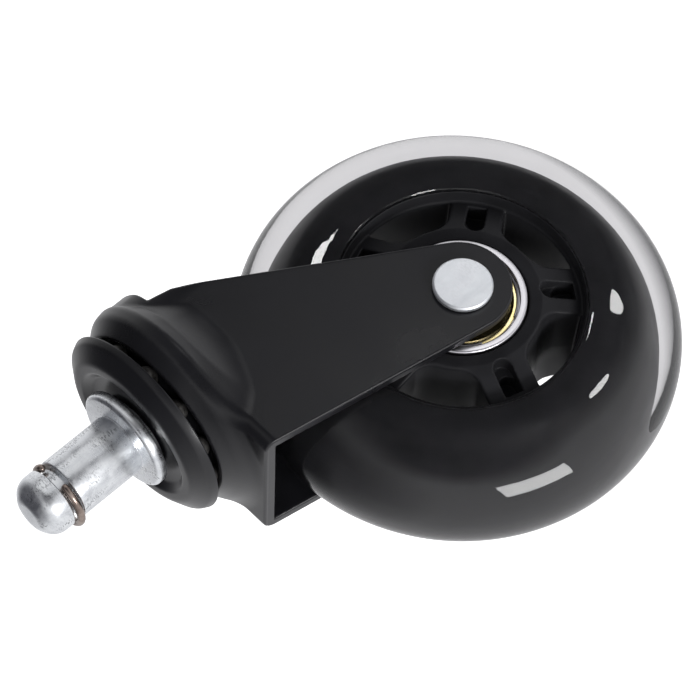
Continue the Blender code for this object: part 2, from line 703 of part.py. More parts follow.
def main():
    clear_scene()
    zinc = make_material("zinc_plate", (0.62, 0.64, 0.66), 0.35, metallic=1.0)
    spring_steel = make_material("spring_steel", (0.30, 0.26, 0.24), 0.30, metallic=1.0)
    steel = make_material("bearing_steel", (0.72, 0.72, 0.72), 0.18, metallic=1.0)
    gilt = make_material("gilt_shield", (0.72, 0.64, 0.36), 0.25, metallic=1.0)
    nylon = make_material("cage_nylon", (0.55, 0.50, 0.40), 0.5)
    black_paint = make_material("black_paint", (0.025, 0.025, 0.03), 0.35)
    black_nylon = make_material("black_nylon", (0.03, 0.03, 0.035), 0.4)
    clear_rubber = make_material("clear_polyurethane", (0.92, 0.93, 0.94), 0.05, transmission=1.0)

    stem_axis = make_axis("stem_axis", (0, 0, 0))
    swivel_axis = make_axis("swivel_axis", (0, 0, 0))
    fixed_axle = make_axis("fixed_axle", AXLE)
    wheel_axis = make_axis("wheel_axis", AXLE)

    build_stem(stem_axis, zinc)
    build_grip_ring(make_axis("grip_ring_axis", (0, 0, 0)), spring_steel)
    build_swivel_cap(stem_axis, black_paint)
    build_lower_race(stem_axis, zinc)
    upper_row = make_axis("upper_row_axis", (0, 0, 0))
    lower_row = make_axis("lower_row_axis", (0, 0, 0))
    build_ball_row("upper_ball", UPPER_BALL_COUNT, UPPER_PITCH_RADIUS, UPPER_BALL_HEIGHT, upper_row, steel)
    build_ball_row("lower_ball", LOWER_BALL_COUNT, LOWER_PITCH_RADIUS, LOWER_BALL_HEIGHT, lower_row, steel)
    build_fork(swivel_axis, black_paint)
    build_axle_rivet(fixed_axle, zinc)
    build_spacer(fixed_axle, zinc)
    for side, sign in (("near", -1), ("far", 1)):
        rolling = make_axis(side + "_row_axis", AXLE)
        build_bearing(side, sign, wheel_axis, fixed_axle, rolling, steel, gilt, nylon)
    build_wheel_core(wheel_axis, black_nylon)
    build_tyre(wheel_axis, clear_rubber)


main()
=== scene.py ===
"""Looks of a swivel chair caster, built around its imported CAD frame.

Shapes are in millimetres in the frame's own axes: +Z up the stem, the axle along Y, the near side at -Y.
"""
import json
import math

import bmesh
import bpy
import numpy as np
from mathutils import Matrix, Vector


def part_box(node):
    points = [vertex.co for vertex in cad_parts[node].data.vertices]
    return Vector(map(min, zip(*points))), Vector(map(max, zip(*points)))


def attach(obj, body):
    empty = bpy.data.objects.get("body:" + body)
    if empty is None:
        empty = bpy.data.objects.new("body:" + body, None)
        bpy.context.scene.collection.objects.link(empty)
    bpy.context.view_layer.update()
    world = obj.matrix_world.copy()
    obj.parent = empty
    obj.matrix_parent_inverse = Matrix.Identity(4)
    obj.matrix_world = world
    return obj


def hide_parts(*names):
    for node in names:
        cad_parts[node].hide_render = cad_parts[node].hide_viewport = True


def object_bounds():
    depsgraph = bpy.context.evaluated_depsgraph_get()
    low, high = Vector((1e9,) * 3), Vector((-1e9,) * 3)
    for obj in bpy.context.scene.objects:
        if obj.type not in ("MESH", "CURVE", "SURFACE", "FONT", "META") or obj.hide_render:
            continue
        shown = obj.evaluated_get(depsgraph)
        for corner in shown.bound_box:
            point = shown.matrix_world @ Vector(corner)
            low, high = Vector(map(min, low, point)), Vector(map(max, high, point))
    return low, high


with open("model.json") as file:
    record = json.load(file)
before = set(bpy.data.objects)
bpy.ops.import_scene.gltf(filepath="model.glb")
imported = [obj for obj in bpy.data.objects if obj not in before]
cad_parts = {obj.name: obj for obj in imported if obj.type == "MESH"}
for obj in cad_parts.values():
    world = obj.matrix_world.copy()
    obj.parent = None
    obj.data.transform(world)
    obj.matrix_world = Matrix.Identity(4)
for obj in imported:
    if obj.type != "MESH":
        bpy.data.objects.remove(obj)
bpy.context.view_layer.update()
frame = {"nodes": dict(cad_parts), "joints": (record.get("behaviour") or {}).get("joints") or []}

MM = 0.001
QUARTER = math.pi / 2
CREASE_ANGLE = math.radians(35)
MERGE_DISTANCE = 0.001
JOINT_PLACES = {joint["name"]: joint["pos_m"] for joint in frame["joints"]}


def node_span(node, axis):
    """Lowest and highest value of a CAD node along X, Y or Z, in millimetres."""
    low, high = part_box(node)
    return low[axis] / MM, high[axis] / MM


# Sizes read from the frame
AXLE_X, _, AXLE_Z = (value / MM for value in JOINT_PLACES["wheel_spin"])
WHEEL_RADIUS = (node_span("tyre", 0)[1] - node_span("tyre", 0)[0]) / 2
WHEEL_HALF_WIDTH = node_span("tyre", 1)[1]
STEM_TOP = node_span("stem", 2)[1]
GROOVE_MIDDLE = JOINT_PLACES["grip_ring_turn"][2] / MM
RIVET_HEAD_TOP, RIVET_TAIL_TOP = node_span("axle_rivet", 1)
BEARING_CENTRE = sum(node_span("far_outer_ring", 1)) / 2
FLOOR_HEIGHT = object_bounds()[0][2]

# Stem and grip ring
SHANK_RADIUS = 5.5
STEM_TRIM = 1.5
NOSE_RADIUS = 3.0
NOSE_HEIGHT = 1.9
GROOVE_RADIUS = 4.1
GROOVE_HALF_WIDTH = 1.0
FLANGE_RADIUS = 9.2
FLANGE_THICKNESS = 2.1
FLANGE_UNDERCUT = 0.15
STEP_RADIUS = 7.0
STEP_LOW = -3.1
KINGPIN_RADIUS = 5.0
PEENED_RADIUS = 7.2
PEENED_TOP = -15.1
WIRE_RADIUS = 0.7
RING_RADIUS = 5.5
RING_OFFSET = 0.45
RING_OPEN_SIDE = math.radians(115)
RING_GAP = math.radians(68)
RING_GAP_SHIFT = math.radians(-12)

# Swivel: ball rows, cap and lower race
BALL_RADIUS = 3.969 / 2
RACE_RADIUS = 2.2
RACE_POINTS = 13
UPPER_PITCH = 14.0
UPPER_HEIGHT = -5.95
LOWER_PITCH = 9.0
LOWER_HEIGHT = -11.2
SWIVEL_ROWS = (("upper", 12, UPPER_PITCH, UPPER_HEIGHT), ("lower", 8, LOWER_PITCH, LOWER_HEIGHT))
SWIVEL_BORE = 5.4
CAP_FLOOR = -3.4
CAP_RIDGE = -2.35
CAP_UNDERSIDE = -4.7
WASHER_RADIUS = 12.0
WASHER_TOP = -12.6
WASHER_BOTTOM = -14.8

# Fork
SHEET = 2.1
SHEET_ROUNDING = 0.4
FORK_HALF_WIDTH = 14.6
FORK_FRONT_RADIUS = 18.5
CORNER_BEND = 2.6
CROWN_TOP = -11.2
CROWN_BEND = 2.2
HEAD_BLEND = 3.4
HEAD_FLUSH_X = 11.0
HEAD_FADE = 7.0
LEG_TIP_RADIUS = 8.7
LEG_TIP_FORWARD = 0.5
AXLE_HOLE_RADIUS = 4.0
LEG_BOSS_RADIUS = 6.2
LEG_BOSS_RISE = 0.2
LEG_BOSS_HALF_DEPTH = 1.0
KING_BORE_RADIUS = 6.6
BORE_ROUNDING = 0.3
HEAD_OUTLINE = (
    (0, -7.3, 0), (16.3, -7.3, 0.6), (18.5, -9.9, 2.6), (18.9, -12.0, 1.5), (17.6, -14.4, 2.0),
    (13.8, -17.6, 0), (0, -17.6, 0))
SIDE_OUTLINE_FRONT = ((30.0, 0.0), (30.0, -16.2), (10.9, -16.2), (9.8, -20.4), (7.3, -24.6))
SIDE_OUTLINE_REAR = ((-22.7, -11.7), (-22.7, 0.0))

# Axle rivet and bearing spacer
RIVET_HEAD_TRIM = 0.35
RIVET_HEAD_RADIUS = 5.05
RIVET_HEAD_FLAT = 4.75
RIVET_HEAD_BEVEL = 0.4
RIVET_SHANK_RADIUS = 3.65
RIVET_TAIL_RADIUS = 4.9
RIVET_TAIL_FLAT = 3.4
RIVET_TAIL_BEVEL = 0.5
RIVET_GAP = 0.3
SPACER_RADIUS = 5.7
SPACER_HALF_LENGTH = 4.7

# Wheel core
HUB_STOP_RADIUS = 9.8
SEAT_DEPTH = 4.7
SEAT_RADIUS = 11.3
HUB_RADIUS = 13.4
HUB_FACE = 11.7
SPOKE_FACE = 9.3
RIM_BORE_RADIUS = 20.4
OPENING_RADIUS = 20.8
OPENING_LIP_RADIUS = 21.2
OPENING_FACE = 11.6
RIM_STEP_RADIUS = 21.4
RIM_KNEE_RADIUS = 23.0
RIM_HALF_WIDTH = 10.9
RIM_RADIUS = 30.9
RIM_POINTS = 81
PAST_MIDDLE = -2.0
SPOKE_COUNT = 5
FIRST_SPOKE = QUARTER
SPOKE_HALF_WIDTH = 4.5
WINDOW_INNER = 13.9
WINDOW_OUTER = 20.2
WINDOW_ROUNDING = 2.2
WINDOW_RIM_ROUNDING = 0.5
WINDOW_DRAFT = 0.3
MOULD_EDGE = 0.45
SLOT_HALF_WIDTH = 1.6
SLOT_STEPS = ((14.9, 8.9), (16.9, 6.2))
SLOT_END = 19.2
SLOT_EDGE = 0.2
SLOT_MOUTH_EDGE = MOULD_EDGE * 0.6

# Tyre
TYRE_SIDE_RADIUS = 24.0
TYRE_EXPONENT = 2.1
TYRE_EDGE_RADIUS = 21.3
TYRE_LIP = ((TYRE_EDGE_RADIUS, 11.7), (21.45, 11.9), (21.8, 12.0), (22.2, 12.0))
TYRE_BITE = 0.15
TYRE_POINTS = 49
TYRE_INNER_POINTS = 33
TYRE_SEGMENTS = 192

# Bearing
BEARING_RADIUS = 11.0
BEARING_BORE = 4.0
BEARING_HALF_WIDTH = 3.5
BEARING_PITCH = 7.5
BEARING_BALLS = 7
OUTER_SHOULDER = 9.2
INNER_SHOULDER = 5.8
SHIELD_SEAT_RADIUS = 9.75
SHIELD_SEAT_DEPTH = 2.4
SHIELD_FACE = ((9.4, 2.55, 0.05), (8.75, 2.55, 0.1), (8.35, 2.3, 0.2), (7.0, 2.3, 0.2), (6.2, 2.45, 0.05))
SHIELD_BACK = ((6.2, 2.62, 0.05), (7.0, 2.48, 0.2), (8.3, 2.48, 0.2), (8.75, 2.72, 0.1), (9.4, 2.72, 0.05))
CLIP_RADIUS = 9.35
CLIP_WIRE_RADIUS = 0.19
CLIP_HEIGHT = 2.97
CLIP_GAP = math.radians(50)

# Meshing
FINE_STEP = 0.36
GRID_MARGIN = 2.5
TURNED_SEGMENTS = 128
RELAX_ROUNDS = 3
SETTLE_ROUNDS = 2
FLATTEST_SLOPE = 0.5
NORMAL_REACH = 0.05

# Camera, in metres and degrees
CAMERA_PLACE = (-0.18599, -0.42983, 0.14823)
CAMERA_AIM = (-0.01313, 0.0, -0.03979)
CAMERA_ROLL = -129.464
CAMERA_LENS = 153.1

# Studio: the floor's half size in metres, and the surroundings. Each dark side has a direction and
# the cosines at which its shade starts and ends.
FLOOR_REACH = 6.0
SURROUND_LIGHT = (0.95, 0.95, 0.955)
SURROUND_DARK = (0.09, 0.09, 0.1)
DARK_SIDES = (
    ((0.5, 0.0, 0.85), 0.35, 0.8),
    ((0.38, -0.86, -0.34), 0.6, 0.93),
    ((-0.27, -0.94, 0.2), 0.83, 0.96))


# ---------------------------------------------------------------- outlines and turned pieces

def arc(centre, radius, start, end, count):
    """Points on an arc, both ends included."""
    turns = np.linspace(start, end, count)
    return [(centre[0] + radius * math.cos(turn), centre[1] + radius * math.sin(turn)) for turn in turns]


def rounded(corners, steps=5):
    """Round every (u, v, radius) corner of an outline with an arc. A radius of 0 keeps the corner."""
    points = []
    for index, (u, v, radius) in enumerate(corners):
        here = Vector((u, v))
        if radius == 0:
            points.append(tuple(here))
            continue
        before = (Vector(corners[index - 1][:2]) - here).normalized()
        after = (Vector(corners[(index + 1) % len(corners)][:2]) - here).normalized()
        half = before.angle(after) / 2
        centre = here + (before + after).normalized() * (radius / math.sin(half))
        start = here + before * (radius / math.tan(half)) - centre
        end = here + after * (radius / math.tan(half)) - centre
        sweep = math.atan2(start.x * end.y - start.y * end.x, start.dot(end))
        for step in range(steps + 1):
            turned_arm = Matrix.Rotation(sweep * step / steps, 2) @ start
            points.append(tuple(centre + turned_arm))
    return points


def sharp(points):
    """Points as outline corners that stay sharp."""
    return [(u, v, 0) for u, v in points]


def new_piece(name, bm, body, replaced, material):
    """Turn a bmesh in millimetres into a finished piece that stands for CAD nodes."""
    bmesh.ops.remove_doubles(bm, verts=bm.verts, dist=MERGE_DISTANCE)
    bmesh.ops.recalc_face_normals(bm, faces=bm.faces)
    bmesh.ops.scale(bm, vec=(MM, MM, MM), verts=bm.verts)
    mesh = bpy.data.meshes.new(name)
    bm.to_mesh(mesh)
    bm.free()
    mesh.shade_smooth()
    mesh.set_sharp_from_angle(angle=CREASE_ANGLE)
    return finish_piece(name, mesh, body, replaced, material)


def finish_piece(name, mesh, body, replaced, material):
    """Put a mesh into the scene as a piece that rides on a body and stands for CAD nodes."""
    piece = bpy.data.objects.new(name, mesh)
    bpy.context.scene.collection.objects.link(piece)
    mesh.materials.append(material)
    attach(piece, body)
    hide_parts(*replaced)
    return piece


def revolve(outline, axis="Z", centre=(0, 0, 0), closed=False, segments=TURNED_SEGMENTS):
    """Spin (radius, height) points about a line along Z or Y. A closed outline makes a ring."""
    bm = bmesh.new()
    if axis == "Z":
        points = [(radius, 0, height) for radius, height in outline]
        direction = (0, 0, 1)
    else:
        points = [(radius, height, 0) for radius, height in outline]
        direction = (0, 1, 0)
    verts = [bm.verts.new(point) for point in points]
    pairs = list(zip(verts, verts[1:]))
    if closed:
        pairs.append((verts[-1], verts[0]))
    edges = [bm.edges.new(pair) for pair in pairs]
    bmesh.ops.spin(bm, geom=verts + edges, cent=(0, 0, 0), axis=direction, angle=2 * math.pi, steps=segments)
    bmesh.ops.remove_doubles(bm, verts=bm.verts, dist=MERGE_DISTANCE)
    bmesh.ops.translate(bm, verts=bm.verts, vec=centre)
    return bm


def bent_wire(ring_radius, wire_radius, gap, middle, axis, centre, segments=96, sides=16):
    """An open ring of round wire with rounded ends, its gap opposite the middle angle."""
    bm = bmesh.new()
    half_sweep = math.pi - gap / 2
    end_turn = wire_radius / ring_radius
    almost_closed = QUARTER * 0.95
    stations = []
    for a in np.linspace(almost_closed, 0, 5):
        stations.append((-half_sweep - end_turn * math.sin(a), math.cos(a)))
    for turn in np.linspace(-half_sweep, half_sweep, segments + 1)[1:-1]:
        stations.append((turn, 1.0))
    for a in np.linspace(0, almost_closed, 5):
        stations.append((half_sweep + end_turn * math.sin(a), math.cos(a)))
    loops = []
    for turn, swell in stations:
        outward = Vector((math.cos(middle + turn), math.sin(middle + turn), 0))
        loop = []
        for around in np.linspace(0, 2 * math.pi, sides, endpoint=False):
            point = outward * (ring_radius + wire_radius * swell * math.cos(around))
            point.z = wire_radius * swell * math.sin(around)
            loop.append(bm.verts.new(point))
        loops.append(loop)
    for first, second in zip(loops, loops[1:]):
        for side in range(sides):
            after = (side + 1) % sides
            bm.faces.new((first[side], first[after], second[after], second[side]))
    bm.faces.new(loops[0])
    bm.faces.new(loops[-1])
    if axis == "Y":
        bmesh.ops.rotate(bm, verts=bm.verts, matrix=Matrix.Rotation(QUARTER, 3, "X"))
    bmesh.ops.translate(bm, verts=bm.verts, vec=centre)
    return bm


def ball_row(count, pitch, height, axis, centre):
    """Evenly spaced balls about a line along Z or Y."""
    bm = bmesh.new()
    for index in range(count):
        turn = 2 * math.pi * index / count
        across = (pitch * math.cos(turn), pitch * math.sin(turn))
        place = (across[0], across[1], height) if axis == "Z" else (across[0], height, across[1])
        spot = Matrix.Translation(Vector(place) + Vector(centre))
        bmesh.ops.create_icosphere(bm, subdivisions=4, radius=BALL_RADIUS, matrix=spot)
    return bm


# ---------------------------------------------------------------- distance fields

def soft_max(a, b, radius):
    """Intersection of two distance fields with its outside corner rounded."""
    over_a = np.maximum(a + radius, 0)
    over_b = np.maximum(b + radius, 0)
    return np.minimum(np.maximum(a, b), -radius) + np.hypot(over_a, over_b)


def soft_min(a, b, radius):
    """Union of two distance fields with its inside corner filled."""
    return -soft_max(-a, -b, radius)


def outline_distance(u, v, outline):
    """Signed distance from points to a closed outline, negative inside."""
    best = np.full(u.shape, np.inf)
    inside = np.zeros(u.shape, bool)
    for (u0, v0), (u1, v1) in zip(outline, outline[1:] + outline[:1]):
        du, dv = u1 - u0, v1 - v0
        length = du * du + dv * dv
        if length == 0:
            continue
        along = np.clip(((u - u0) * du + (v - v0) * dv) / length, 0, 1)
        best = np.minimum(best, (u - u0 - along * du) ** 2 + (v - v0 - along * dv) ** 2)
        if dv:
            crosses = ((v0 <= v) != (v1 <= v)) & (u < u0 + (v - v0) * du / dv)
            inside ^= crosses
    return np.where(inside, -1, 1) * np.sqrt(best)


def slope(field, points, reach=0.01):
    """Unit gradient of a distance field at points, and the gradient's size before that."""
    sides = []
    for axis in np.eye(3) * reach:
        ahead = field(*(points + axis).T)
        behind = field(*(points - axis).T)
        sides.append((ahead - behind) / (2 * reach))
    gradient = np.stack(sides, 1)
    size = np.linalg.norm(gradient, axis=1, keepdims=True)
    return gradient / np.maximum(size, 1e-9), size


def net_points(values, low, step):
    """One vertex in every grid cell that the surface crosses, and the table from cell to vertex."""
    inside = values < 0
    shape = np.array(values.shape) - 1
    corners = [np.array((a, b, c)) for a in (0, 1) for b in (0, 1) for c in (0, 1)]
    count = np.zeros(shape, np.int8)
    for a, b, c in corners:
        count += inside[a:a + shape[0], b:b + shape[1], c:c + shape[2]]
    cells = np.argwhere((count > 0) & (count < 8))
    total = np.zeros(cells.shape)
    hits = np.zeros((len(cells), 1))
    for first in corners:
        for second in corners:
            if (second - first).min() < 0 or (second - first).sum() != 1:
                continue
            near = values[tuple((cells + first).T)][:, None]
            far = values[tuple((cells + second).T)][:, None]
            crossing = (near < 0) != (far < 0)
            share = np.where(crossing, near / np.where(crossing, near - far, 1), 0)
            total += crossing * (first + share * (second - first))
            hits += crossing
    table = np.full(shape, -1)
    table[tuple(cells.T)] = np.arange(len(cells))
    return low + step * (cells + total / hits), table


def net_faces(values, table):
    """A quad around every grid edge that the surface crosses, facing out."""
    inside = values < 0
    quads = []
    for axis in range(3):
        u, v = (axis + 1) % 3, (axis + 2) % 3
        start = [slice(None)] * 3
        end = [slice(None)] * 3
        start[axis] = slice(0, -1)
        end[axis] = slice(1, None)
        low_in = inside[tuple(start)]
        edges = np.argwhere(low_in != inside[tuple(end)])
        facing = low_in[tuple(edges.T)]
        step_u = np.eye(3, dtype=int)[u]
        step_v = np.eye(3, dtype=int)[v]
        around = [edges, edges - step_u, edges - step_u - step_v, edges - step_v]
        quad = np.stack([table[tuple(cell.T)] for cell in around], 1)
        quads.append(np.where(facing[:, None], quad, quad[:, ::-1]))
    return np.concatenate(quads)


def pulled_to_surface(field, points, step):
    """Points moved along the field's gradient to its zero surface, by one step at most."""
    normal, size = slope(field, points)
    distance = field(*points.T)[:, None] / np.maximum(size, FLATTEST_SLOPE)
    return points - normal * np.clip(distance, -step, step)


def implicit_mesh(name, field, low, high, step):
    """Mesh a distance field's zero surface as even quads, with normals from the field itself."""
    axes = [np.arange(a - GRID_MARGIN, b + GRID_MARGIN, step) for a, b in zip(low, high)]
    values = field(*np.meshgrid(*axes, indexing="ij"))
    points, table = net_points(values, np.array([axis[0] for axis in axes]), step)
    faces = net_faces(values, table)
    first, second = faces, np.roll(faces, -1, axis=1)
    ends = np.concatenate([first.ravel(), second.ravel()])
    others = np.concatenate([second.ravel(), first.ravel()])
    valence = np.bincount(ends, minlength=len(points))[:, None]
    for _ in range(RELAX_ROUNDS):
        points = pulled_to_surface(field, points, step)
        mean = np.stack([np.bincount(ends, points[others, k], len(points)) for k in range(3)], 1) / valence
        points = (points + mean) / 2
    for _ in range(SETTLE_ROUNDS):
        points = pulled_to_surface(field, points, step)
    normal, _ = slope(field, points, NORMAL_REACH)
    mesh = bpy.data.meshes.new(name)
    mesh.from_pydata((points * MM).tolist(), [], faces.tolist())
    mesh.shade_smooth()
    mesh.normals_split_custom_set_from_vertices(normal.tolist())
    return mesh


# ---------------------------------------------------------------- materials

def shader_nodes(name, colour, roughness, metallic=0.0):
    """A new material, with its node tree, shader and texture coordinates."""
    material = bpy.data.materials.new(name)
    material.use_nodes = True
    tree = material.node_tree
    shader = tree.nodes["Principled BSDF"]
    shader.inputs["Base Color"].default_value = (*colour, 1)
    shader.inputs["Roughness"].default_value = roughness
    shader.inputs["Metallic"].default_value = metallic
    place = tree.nodes.new("ShaderNodeTexCoord")
    return material, tree, shader, place


def noise(tree, place, scale, detail=3.0, stretch=(1, 1, 1), roughness=0.5):
    """Noise in object space. Scale is in features per metre, and stretch squeezes it along each axis."""
    mapping = tree.nodes.new("ShaderNodeMapping")
    mapping.inputs["Scale"].default_value = stretch
    tree.links.new(place.outputs["Object"], mapping.inputs["Vector"])
    texture = tree.nodes.new("ShaderNodeTexNoise")
    texture.inputs["Scale"].default_value = scale
    texture.inputs["Detail"].default_value = detail
    texture.inputs["Roughness"].default_value = roughness
    tree.links.new(mapping.outputs["Vector"], texture.inputs["Vector"])
    return texture.outputs["Fac"]


def spread(tree, source, low, high, start=0.3, end=0.7):
    """Map a noise value from start..end to low..high."""
    node = tree.nodes.new("ShaderNodeMapRange")
    node.inputs["From Min"].default_value = start
    node.inputs["From Max"].default_value = end
    node.inputs["To Min"].default_value = low
    node.inputs["To Max"].default_value = high
    tree.links.new(source, node.inputs["Value"])
    return node.outputs["Result"]


def two_tone(tree, source, first, second, start=0.35, end=0.65):
    """Blend from the first colour to the second as a value goes from start to end."""
    ramp = tree.nodes.new("ShaderNodeValToRGB")
    ramp.color_ramp.elements[0].position = start
    ramp.color_ramp.elements[0].color = (*first, 1)
    ramp.color_ramp.elements[1].position = end
    ramp.color_ramp.elements[1].color = (*second, 1)
    tree.links.new(source, ramp.inputs["Fac"])
    return ramp.outputs["Color"]


def weighted_sum(tree, shares):
    """Sum of (value, share) pairs."""
    total = None
    for source, share in shares:
        scaled = tree.nodes.new("ShaderNodeMath")
        scaled.operation = "MULTIPLY_ADD"
        scaled.inputs[1].default_value = share
        scaled.inputs[2].default_value = 0
        tree.links.new(source, scaled.inputs[0])
        if total is not None:
            tree.links.new(total, scaled.inputs[2])
        total = scaled.outputs["Value"]
    return total


def mix_colours(tree, a=None, b=None, factor=None, blend="MIX"):
    """A colour mix node with its first colour, second colour and factor linked where they are given."""
    node = tree.nodes.new("ShaderNodeMix")
    node.data_type = "RGBA"
    node.blend_type = blend
    for source, socket in ((a, "A"), (b, "B"), (factor, "Factor")):
        if source is not None:
            tree.links.new(source, node.inputs[socket])
    return node


def bump(tree, shader, heights, distance):
    """Bump from a sum of (height, share) pairs. Distance is the relief in metres."""
    node = tree.nodes.new("ShaderNodeBump")
    node.inputs["Distance"].default_value = distance
    node.inputs["Strength"].default_value = 1.0
    tree.links.new(weighted_sum(tree, heights), node.inputs["Height"])
    tree.links.new(node.outputs["Normal"], shader.inputs["Normal"])


def paint_tones(tree, shader, source, dark, light):
    """Base colour that varies between two tones with a noise value."""
    tree.links.new(two_tone(tree, source, dark, light), shader.inputs["Base Color"])


def vary_gloss(tree, shader, source, low, high):
    """Roughness that varies between two values with a noise value."""
    tree.links.new(spread(tree, source, low, high), shader.inputs["Roughness"])


def make_black_paint():
    """Semi-gloss black coating: slight orange peel and patches of duller film."""
    material, tree, shader, place = shader_nodes("black_paint", (0.012, 0.012, 0.014), 0.3)
    patches = noise(tree, place, 90, 4)
    peel = noise(tree, place, 1400, 2)
    paint_tones(tree, shader, patches, (0.010, 0.010, 0.012), (0.014, 0.014, 0.017))
    vary_gloss(tree, shader, patches, 0.26, 0.36)
    bump(tree, shader, [(peel, 1.0)], 0.000008)
    return material


def make_black_nylon():
    """Moulded nylon: satin, finely grained, with faint flow marks."""
    material, tree, shader, place = shader_nodes("black_nylon", (0.02, 0.02, 0.022), 0.42)
    flow = noise(tree, place, 160, 4)
    grain = noise(tree, place, 3000, 2)
    shader.inputs["Specular IOR Level"].default_value = 0.15
    paint_tones(tree, shader, flow, (0.020, 0.020, 0.022), (0.027, 0.027, 0.030))
    vary_gloss(tree, shader, flow, 0.36, 0.5)
    bump(tree, shader, [(grain, 1.0), (flow, 2.0)], 0.0000015)
    return material


def make_clear_polyurethane():
    """Clear glossy polyurethane with faint waviness in its skin."""
    material, tree, shader, place = shader_nodes("clear_polyurethane", (0.93, 0.935, 0.945), 0.03)
    shader.inputs["Transmission Weight"].default_value = 1.0
    shader.inputs["IOR"].default_value = 1.49
    haze = noise(tree, place, 140, 2)
    vary_gloss(tree, shader, haze, 0.004, 0.016)
    paint_tones(tree, shader, haze, (0.80, 0.79, 0.80), (0.83, 0.82, 0.83))
    bump(tree, shader, [(noise(tree, place, 320, 1), 1.0)], 0.00001)
    return material


def make_zinc(name, dark, light, marks, relief, roughness, wear):
    """Bright zinc over turned steel: cloudy crystals, fine turning marks and darker rubbed patches.

    Marks stretches the turning marks, relief is their depth in metres, and wear is the share of dark specks.
    """
    material, tree, shader, place = shader_nodes(name, light, 0.3, 1.0)
    clouds = noise(tree, place, 420, 5, roughness=0.65)
    rubs = noise(tree, place, 300, 4, stretch=(1, 1, 0.25), roughness=0.7)
    turning = noise(tree, place, 2600, 2, stretch=marks)
    grains = noise(tree, place, 4200, 3, stretch=(0.5, 0.5, 1))
    mixed = weighted_sum(tree, [(clouds, 0.45), (rubs, 0.55)])
    plating = two_tone(tree, mixed, dark, light, 0.38, 0.56)
    specks = tree.nodes.new("ShaderNodeMath")
    specks.operation = "MULTIPLY"
    tree.links.new(spread(tree, rubs, 0, wear, 0.5, 0.6), specks.inputs[0])
    tree.links.new(spread(tree, grains, 0, 1, 0.47, 0.6), specks.inputs[1])
    worn = mix_colours(tree, a=plating, factor=specks.outputs["Value"])
    worn.inputs["B"].default_value = (*(0.6 * tone for tone in dark), 1)
    tree.links.new(worn.outputs["Result"], shader.inputs["Base Color"])
    vary_gloss(tree, shader, clouds, roughness, roughness + 0.2)
    bump(tree, shader, [(turning, 1.0), (clouds, 0.8)], relief)
    return material


def make_spring_steel():
    """Dark drawn wire with a brown oil film."""
    material, tree, shader, place = shader_nodes("spring_steel", (0.30, 0.24, 0.21), 0.25, 1.0)
    film = noise(tree, place, 500, 3)
    paint_tones(tree, shader, film, (0.20, 0.155, 0.135), (0.40, 0.33, 0.29))
    vary_gloss(tree, shader, film, 0.18, 0.32)
    bump(tree, shader, [(noise(tree, place, 3800, 2, stretch=(1, 1, 0.2)), 1.0)], 0.000006)
    return material


def make_bearing_steel():
    """Ground steel with fine lines around the axle."""
    material, tree, shader, place = shader_nodes("bearing_steel", (0.74, 0.74, 0.76), 0.2, 1.0)
    lines = noise(tree, place, 3000, 2, stretch=(0.3, 1, 0.3))
    film = noise(tree, place, 220, 3)
    paint_tones(tree, shader, film, (0.62, 0.61, 0.64), (0.72, 0.71, 0.74))
    vary_gloss(tree, shader, film, 0.28, 0.38)
    bump(tree, shader, [(lines, 1.0)], 0.000005)
    return material


def make_grease_and_shade_steel():
    """Steel under a brown film of grease, darkened further as painted shade for the balls in the swivel's
    narrow gap.
    """
    material, tree, shader, place = shader_nodes("grease_and_shade_steel", (0.07, 0.065, 0.06), 0.35, 0.6)
    film = noise(tree, place, 700, 3)
    paint_tones(tree, shader, film, (0.03, 0.028, 0.026), (0.12, 0.115, 0.11))
    vary_gloss(tree, shader, film, 0.25, 0.5)
    bump(tree, shader, [(film, 1.0)], 0.00001)
    return material


def make_gilt():
    """Yellow passivated sheet: gold with green and brown clouds."""
    material, tree, shader, place = shader_nodes("gilt_shield", (0.62, 0.50, 0.24), 0.22, 1.0)
    clouds = noise(tree, place, 380, 4)
    paint_tones(tree, shader, clouds, (0.50, 0.40, 0.16), (0.78, 0.68, 0.40))
    vary_gloss(tree, shader, clouds, 0.15, 0.3)
    bump(tree, shader, [(noise(tree, place, 2600, 2), 1.0)], 0.000004)
    return material


def make_cage_nylon():
    """Natural nylon, slightly cloudy."""
    material, tree, shader, place = shader_nodes("cage_nylon", (0.55, 0.50, 0.40), 0.5)
    clouds = noise(tree, place, 300, 3)
    paint_tones(tree, shader, clouds, (0.50, 0.45, 0.35), (0.60, 0.55, 0.45))
    vary_gloss(tree, shader, clouds, 0.42, 0.58)
    bump(tree, shader, [(noise(tree, place, 3000, 2), 1.0)], 0.00001)
    return material


# ---------------------------------------------------------------- stem, ring and swivel

